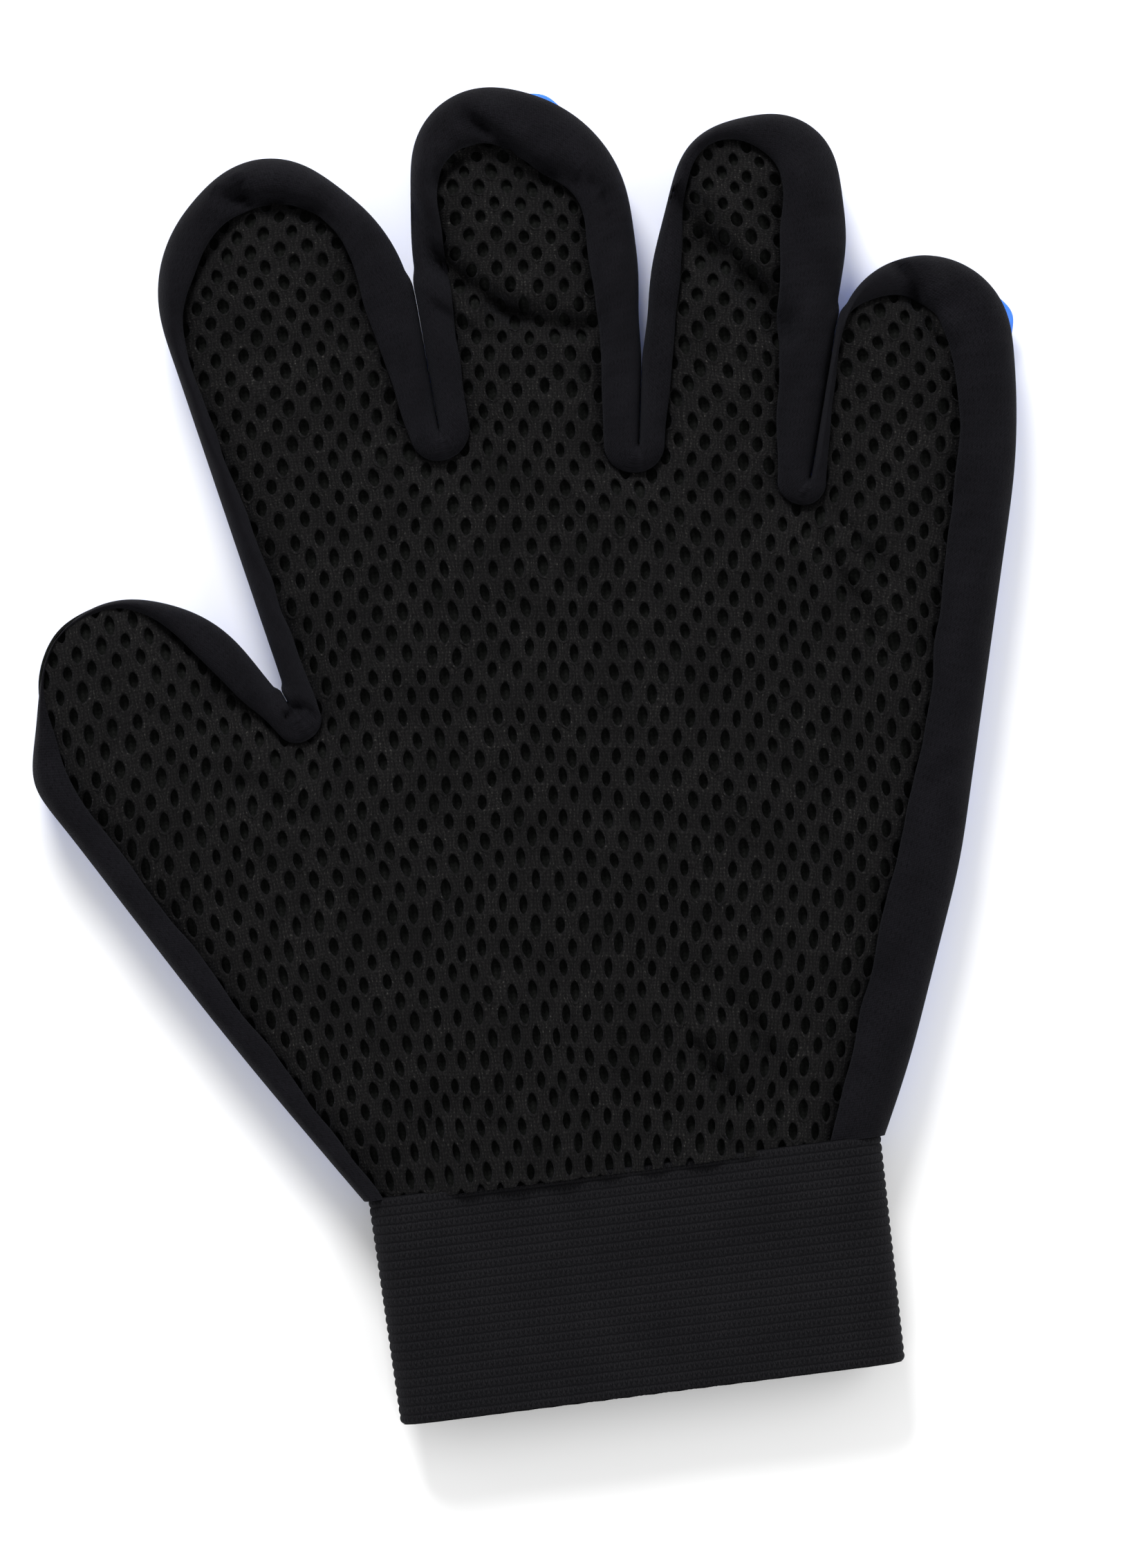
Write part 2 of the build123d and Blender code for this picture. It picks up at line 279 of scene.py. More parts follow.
# ==== the lie of the cloth ==========================================================================
# Folds that the cloth lies in: a line of spots, depth, width, the height of the ridge on its left, and
# how far that ridge leans over it.  A fold is steeper under its ridge than on its right.
FOLDS = [
    ([(-13, 99), (-10.8, 93.7), (-7.7, 86.3), (-2.8, 81.6), (2.6, 76.9), (9.2, 73.6), (16, 72.3),
      (19, 71.4)], 6.5, 2.0, 1.0, 0.4),
    ([(-13, 82), (-6, 75), (2, 70.5)], 1.2, 1.3, 0.4, 0.3),
    ([(34, 94), (36.1, 89.8), (40.6, 83.2), (45.7, 77.3), (48.9, 72.4), (50.6, 67.5), (51.2, 63.5)],
     6.8, 2.4, 1.0, 0.4),
    ([(36, 98), (39, 91), (44, 85)], 1.2, 1.2, 0.4, 0.3),
    ([(70, 80), (71.4, 76.5), (74.2, 70.7), (77.1, 61.3), (77.5, 57)], 3.6, 1.6, 1.2, 0.6),
    ([(50, 38), (53, 28), (58, 17), (62, 7)], 1.8, 1.4, 0.6, 0.5),
    ([(48, 37), (48, 26), (50, 15)], 1.0, 1.4, 0.4, 0.3),
    ([(53, 37), (60, 27), (66, 19)], 1.1, 1.4, 0.4, 0.3),
    ([(-46, 103.6), (-43.6, 102.4), (-39.4, 100.8), (-34, 100.2), (-28.5, 98.0), (-25, 94.6)],
     4.2, 1.5, 0.7, 0.3),
    ([(-41.5, 105.5), (-40.5, 102.5), (-39.8, 99)], 2.0, 1.5, 0.3, 0.2),
    ([(-1.0, 111.8), (2.6, 108.8), (5.0, 106.4), (8.6, 102.2), (14.2, 98.6), (18.6, 96.4)],
     4.4, 1.4, 0.8, 0.4),
    ([(-8.2, 98), (-6.3, 101.0), (-2.4, 104.0), (2.4, 106.6)], 3.0, 1.2, 0.6, 0.3),
    ([(18, 99), (22, 95), (23, 88)], 1.4, 1.2, 0.4, 0.4),
    ([(-45.2, 7.4), (-44.8, 10.4), (-42.6, 12.0), (-40.4, 11.2), (-39.6, 8.6)], 1.5, 0.8, 0.4, 0.2),
    ([(17, -52), (22, -60), (27, -69)], 2.4, 2.0, 0.6, 0.5),
    ([(27, -48), (32, -57), (36, -67)], 1.4, 1.8, 0.4, 0.3),
    ([(8, -58), (13, -69)], 1.0, 1.8, 0.3, 0.2),
    ([(-60, 4), (-50, -2), (-42, -10)], 1.0, 2.0, 0.4, 0.3),
]
# Places where the mesh sinks below the strip round it: x, y, radius, depth.
DENTS = [
    (-46, 96, 7, 1.5), (-34, 97, 7, 1.8), (4, 102, 6, 4.2), (12, 97, 6, 2.6), (-8, 88, 6, 1.8),
    (40, 97, 5, 1.0), (37, 82, 5, 1.6), (-61, 26, 6, 1.4), (-53, 14, 7, 1.9), (-21, 60, 6, 1.3),
    (-24, 84, 9, 1.2), (-52, 78, 9, 1.3), (21, 62, 5, 1.3), (78, 50, 7, 1.2), (30, -64, 12, 1.6),
    (-37, -72, 8, 1.4), (50, 36, 5, 1.2), (23, 45, 4, 0.9), (-12, 50, 4, 0.9),
]


def fold_lie(points):
    """How far the folds press the cloth down, and pull it sideways, at each point of the plan."""
    total = np.zeros(len(points))
    pull = np.zeros((len(points), 2))
    for spots, depth, width, ridge, lean in FOLDS:
        line = spread(np.array(spots, float), 40)
        out = normals_of(line)
        offset = points[:, None, :2] - line[None]
        reach = np.hypot(offset[..., 0], offset[..., 1])
        nearest = reach.argmin(1)
        rows = np.arange(len(points))
        side = np.sign((offset[rows, nearest] * out[nearest]).sum(1)) * reach[rows, nearest]
        ends = np.sin(np.pi * np.clip(nearest / (len(line) - 1), 0.0, 0.999)) ** 0.6
        ends *= 1.0 + 0.35 * np.sin(nearest * 0.55 + depth)
        slope = np.where(side > 0, 0.7 * width, 1.3 * width)
        total += ends * depth * bell(side / slope)
        total -= ends * ridge * bell((side - 2.2 * width) / (1.3 * width))
        held = lean * ends * bell((side - 1.1 * width) / (1.1 * width))
        pull -= held[:, None] * out[nearest]
    return total, pull


def panel_height(points):
    """The height of the back panel: it dips beside a wide strip, and is uneven over the hand."""
    inside, nearest = SEAM.measure(points)
    deep = np.maximum(inside, 0.0)
    rise = 1 - np.exp(-deep / 7.0)
    dip = 2.2 * smooth(0.8, 4.0, STRIP_WIDTH[nearest]) + 0.1
    z = SEAM_Z - 0.2 - dip * np.exp(-deep / 2.0) + PANEL_RISE * rise
    z += 0.9 * rise * waves(points, 17.0, 3.1) + 0.5 * rise * waves(points, 6.5, 8.2)
    gather = smooth(-30.0, -76.0, points[:, 1])
    z += 0.5 * gather * np.sin(points[:, 0] * 0.8 + 2.5 * waves(points, 14.0, 5.5)) * rise
    for x, y, radius, depth in DENTS:
        z -= depth * bell(np.hypot(points[:, 0] - x, points[:, 1] - y) / radius)
    return z


def laid(plan, drop=0.0):
    """Points of the plan laid on the back panel's surface, or drop below it, with its folds.

    No fold reaches down to the palm: the surface levels out at LOWEST_PANEL.
    """
    press, pull = fold_lie(plan)
    surface = LOWEST_PANEL + np.logaddexp(0.0, 2.0 * (panel_height(plan) - press - LOWEST_PANEL)) / 2.0
    free = smooth(0.2, 1.5, SEAM.measure(plan)[0])[:, None]
    return np.column_stack([plan + pull * free, surface - drop])


# ==== meshes and pieces =============================================================================
def values_of(items, name, width, kind=np.float32):
    """One attribute of all the items of a mesh's list, in rows of width numbers."""
    flat = np.empty(len(items) * width, kind)
    items.foreach_get(name, flat)
    return flat.reshape(-1, width)


@contextmanager
def edited(mesh):
    """Opens a mesh for bmesh operations, and then writes it back."""
    bm = bmesh.new()
    bm.from_mesh(mesh)
    yield bm
    bm.to_mesh(mesh)
    bm.free()


def make_mesh(name, points, faces, uv=None):
    """A smooth mesh from points in millimetres.  uv is one pair of millimetres for each point."""
    mesh = bpy.data.meshes.new(name)
    mesh.from_pydata((np.asarray(points) * MM).tolist(), [], faces)
    mesh.polygons.foreach_set("use_smooth", [True] * len(mesh.polygons))
    if uv is not None:
        corner = values_of(mesh.loops, "vertex_index", 1, int)[:, 0]
        layer = mesh.uv_layers.new(name="UVMap")
        layer.data.foreach_set("uv", np.asarray(uv, np.float32)[corner].ravel())
    mesh.update()
    return mesh


def make_object(name, mesh, material):
    obj = bpy.data.objects.new(name, mesh)
    bpy.context.scene.collection.objects.link(obj)
    mesh.materials.append(material)
    return obj


def rigid_piece(name, mesh, material, body, node=None):
    """Makes a piece that moves whole with one body."""
    obj = make_object(name, mesh, material)
    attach(obj, body)
    if node:
        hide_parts(node)


def ring_faces(start, rings, sides):
    """Quads between the rings of a tube whose points run round one ring after another."""
    faces = []
    for a in range(start, start + (rings - 1) * sides, sides):
        b = a + sides
        faces += [(a + k, b + k, b + (k + 1) % sides, a + (k + 1) % sides) for k in range(sides)]
    return faces


def rod_faces(start, rings, sides):
    """The faces of a closed rod, whose first ring turns the other way from a tube's."""
    last = start + (rings - 1) * sides
    ends = [tuple(range(start + sides - 1, start - 1, -1)), tuple(range(last, last + sides))]
    return [face[::-1] for face in ring_faces(start, rings, sides)] + ends


def grid_faces(rows, columns, closed=False):
    """Quads of a grid whose points run column by column."""
    faces = []
    for c in range(columns if closed else columns - 1):
        a, b = c * rows, (c + 1) % columns * rows
        faces += [(a + r, a + r + 1, b + r + 1, b + r) for r in range(rows - 1)]
    return faces


def lane_of(points):
    """The number of the stall that each point belongs to, counted from the thumb."""
    lane = np.zeros(len(points), int)
    for border in LANES:
        heights, sides = zip(*border)
        lane += points[:, 0] > np.interp(points[:, 1], heights, sides)
    return lane


def along_crease(points, crease):
    """How far past a crease each point is."""
    x, y, angle = crease
    a = math.radians(angle)
    return -(points[:, 0] - x) * math.sin(a) + (points[:, 1] - y) * math.cos(a)


def ahead(crease, distance, z=10.0):
    """A spot past a crease, on the stall's middle line, in metres."""
    x, y, angle = crease
    a = math.radians(angle)
    return ((x - distance * math.sin(a)) * MM, (y + distance * math.cos(a)) * MM, z * MM)


# A piece that each layer is cut into: which stall it is on, from the thumb, its crease, where it starts,
# and its two bodies with the start and the end of the bend between them.
Zone = namedtuple("Zone", "name stall crease cut body_a body_b bend")


def zone_list():
    """The zones past the palm, each stall's lower one first."""
    zones = []
    for stall, (name, creases) in enumerate(CREASES.items()):
        if len(creases) == 1:
            zones.append(Zone(name, stall, creases[0], KNUCKLE_CUT, "hand", name, KNUCKLE_BEND))
            continue
        base, tip = name + "_base", name + "_tip"
        zones.append(Zone(name + "_low", stall, creases[0], KNUCKLE_CUT, "hand", base, KNUCKLE_BEND))
        zones.append(Zone(name + "_high", stall, creases[1], TIP_CUT, base, tip, TIP_BEND))
    return zones


ZONES = zone_list()


def zone_of(points):
    """The number of the zone that each point of the plan lies in: 0 in the palm, or 1 and up."""
    numbers = np.zeros(len(points), int)
    lane = lane_of(points)
    for number, zone in enumerate(ZONES, 1):
        numbers[(lane == zone.stall) & (along_crease(points, zone.crease) > zone.cut)] = number
    return numbers


def cut_at_zones(mesh):
    """Cuts a whole-glove mesh along the borders of its zones."""
    with edited(mesh) as bm:
        for zone in ZONES:
            centres = np.array([f.calc_center_median()[:2] for f in bm.faces]) / MM
            past = along_crease(centres, zone.crease) - zone.cut
            near = (lane_of(centres) == zone.stall) & (abs(past) < CUT_REACH)
            bm.faces.ensure_lookup_table()
            faces = [bm.faces[i] for i in np.flatnonzero(near)]
            edges = list({e for f in faces for e in f.edges})
            verts = list({v for f in faces for v in f.verts})
            way = math.radians(zone.crease[2])
            bmesh.ops.bisect_plane(
                bm,
                geom=faces + edges + verts,
                dist=1e-7,
                plane_co=ahead(zone.crease, zone.cut),
                plane_no=(-math.sin(way), math.cos(way), 0.0),
            )


def zone_pieces(layer, mesh, material, nodes=None, part_points=None):
    """Cuts a layer into its zones, and sets the palm piece to move with the hand.

    A layer of small parts with part_points points each isn't cut: a part goes to the zone of its middle.
    """
    if part_points is None:
        cut_at_zones(mesh)
    points = values_of(mesh.vertices, "co", 3)
    normals = values_of(mesh.vertex_normals, "vector", 3)
    loop_uv = values_of(mesh.uv_layers[0].data, "uv", 2)
    corners = [tuple(p.vertices) for p in mesh.polygons]
    starts = np.array([p.loop_start for p in mesh.polygons])
    if part_points is None:
        numbers = zone_of(np.array([points[list(c), :2].mean(0) for c in corners]) / MM)
    else:
        middles = points.reshape(-1, part_points, 3).mean(1, dtype=float) / MM
        numbers = zone_of(middles)[[c[0] // part_points for c in corners]]
    for number, zone in enumerate([None, *ZONES]):
        chosen = np.flatnonzero(numbers == number)
        if not len(chosen):
            continue
        name = f"{zone.name if zone else 'palm'}_{layer}"
        used = sorted({v for i in chosen for v in corners[i]})
        place = {v: k for k, v in enumerate(used)}
        part = bpy.data.meshes.new(name)
        part.from_pydata(points[used].tolist(), [], [[place[v] for v in corners[i]] for i in chosen])
        part.polygons.foreach_set("use_smooth", [True] * len(part.polygons))
        loops = np.concatenate([np.arange(starts[i], starts[i] + len(corners[i])) for i in chosen])
        part.uv_layers.new(name="UVMap").data.foreach_set("uv", loop_uv[loops].ravel())
        part.update()
        part.normals_split_custom_set_from_vertices(normals[used].tolist())
        obj = make_object(name, part, material)
        if zone:
            start, end = (ahead(zone.crease, distance) for distance in zone.bend)
            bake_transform(obj)
            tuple(start)
            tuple(end)
        else:
            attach(obj, "hand")
    if nodes:
        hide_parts(*nodes)
    bpy.data.meshes.remove(mesh)


# ==== materials =====================================================================================
class Shader:
    """A material's nodes: each method adds one and returns its output."""

    def __init__(self, name):
        self.material = bpy.data.materials.new(name)
        self.material.use_nodes = True
        self.tree = self.material.node_tree
        self.surface = self.tree.nodes["Principled BSDF"]
        self.uv = self.node("ShaderNodeUVMap").outputs["UV"]
        self.uv.node.uv_map = "UVMap"

    def node(self, kind, **settings):
        made = self.tree.nodes.new(kind)
        for key, value in settings.items():
            setattr(made, key, value)
        return made

    def link(self, source, target):
        self.tree.links.new(source, target)

    def feed(self, socket, value):
        if isinstance(value, bpy.types.NodeSocket):
            self.link(value, socket)
        else:
            socket.default_value = value

    def math(self, operation, *values):
        made = self.node("ShaderNodeMath", operation=operation)
        for socket, value in zip(made.inputs, values):
            self.feed(socket, value)
        return made.outputs[0]

    def times(self, value, factor, plus=None):
        if plus is None:
            return self.math("MULTIPLY", value, factor)
        return self.math("MULTIPLY_ADD", value, factor, plus)

    def minus(self, value, less):
        return self.math("SUBTRACT", value, less)

    def share(self, value, period):
        """Where in its period a length is, from 0 to 1."""
        return self.math("FRACT", self.math("DIVIDE", value, period))

    def off_middle(self, share):
        """How far a share from 0 to 1 is from a half."""
        return self.math("ABSOLUTE", self.minus(share, 0.5))

    def axis(self, number):
        made = self.node("ShaderNodeSeparateXYZ")
        self.link(self.uv, made.inputs[0])
        return made.outputs[number]

    def wave(self, value, period, shift=0.0):
        """A sine from 0 to 1 along a length in millimetres."""
        turned = self.times(value, 2 * math.pi / period, shift)
        return self.times(self.math("SINE", turned), 0.5, 0.5)

    def noise(self, size, detail=3.0, stretch=(1, 1, 1)):
        """Soft noise from 0 to 1, with grains about size millimetres across."""
        place = self.node("ShaderNodeMapping")
        self.link(self.uv, place.inputs["Vector"])
        place.inputs["Scale"].default_value = stretch
        made = self.node("ShaderNodeTexNoise")
        self.link(place.outputs[0], made.inputs["Vector"])
        made.inputs["Scale"].default_value = 1.0 / size
        made.inputs["Detail"].default_value = detail
        return made.outputs[0]

    def ramp(self, value, stops):
        made = self.node("ShaderNodeValToRGB")
        self.link(value, made.inputs[0])
        ramp = made.color_ramp
        while len(ramp.elements) < len(stops):
            ramp.elements.new(0.5)
        for element, (place, color) in zip(ramp.elements, stops):
            element.position = place
            element.color = (*color, 1.0)
        return made.outputs[0]

    def bump(self, height, distance, strength=1.0):
        made = self.node("ShaderNodeBump")
        self.link(height, made.inputs["Height"])
        made.inputs["Distance"].default_value = distance * MM
        made.inputs["Strength"].default_value = strength
        self.link(made.outputs[0], self.surface.inputs["Normal"])

    def set(self, **values):
        """Sets inputs of the surface, named with _ for each space."""
        for key, value in values.items():
            self.feed(self.surface.inputs[key.replace("_", " ")], value)


def cloth_base(name, roughness=0.9, sheen=0.025):
    shader = Shader(name)
    shader.set(Roughness=roughness, Specular_IOR_Level=0.06)
    shader.set(Sheen_Weight=sheen, Sheen_Roughness=0.4, Sheen_Tint=(0.6, 0.62, 0.75, 1.0))
    return shader


def knit(shader, u, v, column, course):
    """The relief of a plain knit, from 0 to 1: rows of small leaning loops in columns."""
    place = shader.share(u, column)
    half = shader.off_middle(place)
    leaning = shader.times(half, 0.9 * course, v)
    loops = shader.wave(leaning, course)
    column_round = shader.minus(1.0, shader.times(half, 1.6))
    return shader.times(column_round, shader.times(loops, 0.6, 0.4))


def mesh_material():
    """Spacer mesh: fine columns of loops that part round the holes, with a few bright filaments."""
    shader = cloth_base("black_mesh")
    bend = shader.times(shader.noise(1.3, 3.0), 1.0, shader.axis(0))
    rise = shader.times(shader.noise(1.7, 3.0), 0.9, shader.axis(1))
    loops = knit(shader, bend, rise, 0.82, 0.62)
    strands = shader.noise(0.26, 3.0, stretch=(1.0, 0.3, 1.0))
    relief = shader.times(strands, 1.1, shader.times(loops, 0.42))
    shader.bump(relief, 0.26)
    shade = shader.times(shader.noise(8.0), 0.25, shader.times(relief, 0.65))
    shader.set(Base_Color=shader.ramp(shade, [
        (0.3, (0.0015, 0.0014, 0.0015)),
        (0.6, (0.0052, 0.005, 0.0052)),
        (0.78, (0.0116, 0.0112, 0.011)),
        (0.9, (0.045, 0.043, 0.04)),
    ]))
    return shader.material


def lining_material(name, dark, light):
    """The plain knit seen through the holes and inside the glove."""
    shader = cloth_base(name, roughness=0.95, sheen=0.01)
    relief = knit(shader, shader.axis(0), shader.axis(1), 0.9, 0.8)
    relief = shader.times(shader.noise(0.5), 0.5, shader.times(relief, 0.6))
    shader.bump(relief, 0.15)
    shader.set(Base_Color=shader.ramp(relief, [(0.1, dark), (0.9, light)]))
    return shader.material


def strip_material():
    """Smooth fine knit, with faint rows of short dashes along its length."""
    shader = cloth_base("side_knit")
    along, across = shader.axis(0), shader.axis(1)
    drift = shader.times(shader.noise(7.0, 2.0), 1.2, across)
    number = shader.math("FLOOR", shader.math("DIVIDE", drift, 1.1))
    shifted = shader.times(number, 1.37, along)
    groove = shader.math("POWER", shader.wave(drift, 1.1, -math.pi / 2), 5.0)
    dash = shader.times(shader.wave(shifted, 2.1), shader.wave(shifted, 2.1))
    worn = shader.math("GREATER_THAN", shader.noise(4.0, 2.0), 0.47)
    dotted = shader.times(groove, dash)
    dotted = shader.times(dotted, shader.times(worn, 0.6, 0.4))
    loops = knit(shader, along, drift, 0.47, 0.4)
    grain = shader.noise(0.3, 4.0, stretch=(0.6, 1.6, 1))
    relief = shader.times(loops, 0.25, shader.times(grain, 0.9))
    relief = shader.minus(relief, shader.times(dotted, 0.2))
    shader.bump(relief, 0.22)
    patch = shader.times(shader.noise(9.0), 0.35, relief)
    shader.set(Base_Color=shader.ramp(patch, [
        (0.25, (0.0008, 0.0008, 0.0011)),
        (0.65, (0.0032, 0.003, 0.0041)),
        (0.98, (0.0072, 0.0069, 0.009)),
    ]))
    return shader.material


def elastic_material():
    """Ribbed webbing: painted shade in the grooves between the ribs, and a row of small V-shaped ticks
    on each rib.
    """
    shader = cloth_base("elastic")
    along, across = shader.axis(0), shader.axis(1)
    rib = shader.share(across, RIB)
    middle = shader.off_middle(rib)
    number = shader.math("FLOOR", shader.math("DIVIDE", across, RIB))
    wandering = shader.times(shader.noise(1.5), 0.4, along)
    turned = shader.times(number, 0.31, shader.math("DIVIDE", wandering, 0.9))
    beside = shader.off_middle(shader.math("FRACT", turned))
    slant = shader.times(shader.minus(rib, 0.2), 0.5)
    away = shader.math("ABSOLUTE", shader.minus(beside, slant))
    tick = shader.math("MAXIMUM", shader.times(away, -6.0, 1.0), 0.0)
    on_crest = shader.minus(1.0, shader.times(middle, 2.8))
    marked = shader.times(tick, shader.math("MAXIMUM", on_crest, 0.0))
    yarn = shader.noise(0.28, 4.0, stretch=(1.4, 0.7, 1.0))
    # Where the grooves between the ribs are: this darkens only the colour, as painted shade.
    groove = shader.math("POWER", shader.times(middle, 2.0), 6.0)
    relief = shader.times(yarn, 0.8, 0.36)
    relief = shader.minus(relief, shader.times(marked, 0.42))
    shader.bump(relief, 0.2)
    # Painted shade: the colour is darker in the grooves between the ribs.
    shade = shader.minus(relief, shader.times(groove, 0.3))
    shade = shader.times(shader.noise(10.0), 0.2, shade)
    shader.set(Base_Color=shader.ramp(shade, [
        (0.2, (0.0008, 0.0008, 0.001)),
        (0.72, (0.004, 0.0039, 0.0048)),
        (1.0, (0.0105, 0.0102, 0.0115)),
    ]))
    return shader.material


def rubber_material():
    """Moulded silicone: a satin skin with faint dust and flow marks."""
    shader = Shader("blue_rubber")
    marks = shader.noise(5.0, 4.0)
    fine = shader.noise(0.5, 2.0)
    shader.set(Base_Color=shader.ramp(marks, [(0.3, (0.012, 0.13, 0.62)), (0.75, (0.022, 0.19, 0.78))]))
    shader.set(Roughness=shader.times(marks, 0.2, 0.32))
    shader.set(Subsurface_Weight=0.08, Subsurface_Scale=0.002)
    shader.bump(shader.times(fine, 0.3, marks), 0.05)
    return shader.material


def plain_material(name, color, roughness, grain):
    """A small part's material, with a fine grain of its own."""
    shader = Shader(name)
    spots = shader.noise(grain, 3.0)
    darker = tuple(0.55 * c for c in color)
    shader.set(Base_Color=shader.ramp(spots, [(0.3, darker), (0.7, color)]), Roughness=roughness)
    shader.bump(spots, 0.1)
    return shader.material


# ==== the side strip ================================================================================
# Points of the outline no more than this many apart count as side by side, not as facing in a slot.
SIDE_BY_SIDE = 4


def slot_gaps():
    """How far the strip swells out at each point of the outline, to meet its neighbour in a slot."""
    gap = np.hypot(*(outline[:, None] - outline[None]).transpose(2, 0, 1))
    order = np.arange(len(outline))
    far_along = abs(order[:, None] - order[None]) > SIDE_BY_SIDE
    nearest = np.where(far_along, gap, np.inf).min(1)
    return np.maximum(nearest / 2 - 0.02, 0.0) * smooth(1.7, 1.1, nearest)


# The lip of the strip over the mesh: how far out from the seam, and how high over it.
LIP = [(0.9, -2.6), (0.1, -2.2), (-0.5, -1.3), (-0.7, -0.4), (-0.4, 0.4), (0.3, 0.95)]
# The rows of points from the lip to the widest line, and from there to the foot.
TOP_ROWS, SIDE_ROWS = 16, 6


def strip_layer(material):
    """The knitted strip: a soft lip over the mesh, out to the outline and under to the pad."""
    out = normals_of(outline)
    foot = outline - STRIP_FOOT_INSET * out
    wide = outline + slot_gaps()[:, None] * out
    reach = wide - seam
    width = np.maximum(np.hypot(*reach.T), 0.3)
    way = reach / width[:, None]
    small = np.minimum(width / 3.5, 1.0)[:, None]
    along = run_along(outline)
    rows = [np.column_stack([seam + small * side * way, SEAM_Z + small * up]) for side, up in LIP]
    start = rows[-1]
    for turn in np.linspace(0.0, math.pi / 2, TOP_ROWS + 1)[1:]:
        plan = start[:, :2] + (wide - start[:, :2]) * math.sin(turn)
        z = STRIP_WIDEST + (start[:, 2] - STRIP_WIDEST) * math.cos(turn)
        rows.append(np.column_stack([plan, z + (0.4 + 1.2 * small[:, 0]) * math.sin(2 * turn)]))
    for turn in np.linspace(0.0, math.pi / 2, SIDE_ROWS + 1)[1:]:
        plan = wide + (foot - wide) * (1 - math.cos(turn))
        z = np.full(len(plan), STRIP_WIDEST - (STRIP_WIDEST - STRIP_FOOT) * math.sin(turn))
        rows.append(np.column_stack([plan, z]))
    grid = np.stack(rows, 1)
    flat = grid.reshape(-1, 3).copy()
    crest = smooth(9.0, 14.5, flat[:, 2])
    uneven = 0.75 * waves(flat, 9.0, 1.7) + 0.4 * waves(flat, 3.4, 4.4)
    uneven[np.arange(len(flat)) % len(rows) < 2] = 0.0
    press, pull = fold_lie(flat)
    press = np.minimum(press, np.maximum(flat[:, 2] - LOWEST_STRIP, 0.0))
    flat[:, 2] += crest * (uneven - press)
    flat[:, :2] += 0.6 * crest[:, None] * pull
    steps = np.linalg.norm(np.diff(grid, axis=1), axis=2)
    across = np.concatenate([np.zeros((len(grid), 1)), np.cumsum(steps, 1)], 1)
    across -= across[:, len(LIP) + TOP_ROWS - 1, None]
    uv = np.stack([np.broadcast_to(along[:, None], across.shape), across], 2).reshape(-1, 2)
    mesh = make_mesh("strip", flat, grid_faces(grid.shape[1], len(grid)), uv)
    zone_pieces("strip", mesh, material, nodes_like("strip"))


def nodes_like(*words):
    return [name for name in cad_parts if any(word in name for word in words)]


# ==== the spacer mesh ===============================================================================
# How far apart the holes are at each height y of the panel: across a row, and down a column.
HOLE_PITCH = [
    (-80, 3.45, 7.8), (-50, 3.8, 7.75), (-20, 4.08, 7.55), (20, 4.22, 7.35), (60, 4.5, 6.65),
    (95, 4.7, 5.6),
]
# The pitch that the knit's columns and courses are drawn for, all over the panel.
KNIT_PITCH = (4.2, 7.5)
# The panel's lattice is worked out in steps of this share of a row.
ROW_SHARES = 18
CELL_SIDES = 6
SIDE_STEPS = 3
CELL_TALL = 1.74
PANEL_END_Y = -76.6


def hole_places():
    """Turns lattice numbers (a across, b down a column) into the plan."""
    heights, across, down = zip(*HOLE_PITCH)
    levels = [-110.0]
    while levels[-1] < 150.0:
        levels.append(levels[-1] + np.interp(levels[-1], heights, down) / ROW_SHARES)
    levels = np.array(levels)

    def place(a, b):
        y = np.interp(b * ROW_SHARES, np.arange(len(levels)), levels)
        x = a * np.interp(y, heights, across) + 0.05 * y
        y = y - 0.12 * x - 0.0017 * x * x
        plan = np.stack([x, y], -1)
        flat = plan.reshape(-1, 2)
        shift = np.stack([waves(flat, 15.0, 2.2), waves(flat, 15.0, 6.6)], 1)
        return plan + 1.1 * shift.reshape(plan.shape)

    return place


def mesh_cells():
    """The corners of every cell and of its hole, as lattice numbers."""
    corner = np.array([(0, 2), (3, 1), (3, -1), (0, -2), (-3, -1), (-3, 1)]) / 6
    rim = []
    for k in range(CELL_SIDES):
        for step in range(SIDE_STEPS):
            rim.append(corner[k] + (corner[(k + 1) % CELL_SIDES] - corner[k]) * step / SIDE_STEPS)
    centres = [(column + 0.5 * (row % 2), row / 2) for row in range(70) for column in range(-28, 28)]
    return np.array(centres), np.array(rim)


# The rings of a cell from its border to the foot of its hole's wall: the share of the border's and of
# the hole's shape, how far below the surface, and how far the knit's columns keep their spacing.
CELL_RINGS = [
    (1.0, 0.0, 0.0, 1.0), (0.45, 0.68, -0.1, 0.6), (0.0, 1.13, 0.02, 0.3), (0.0, 1.0, 0.35, 0.2),
    (0.0, 0.96, MESH_DEEP, 0.0),
]


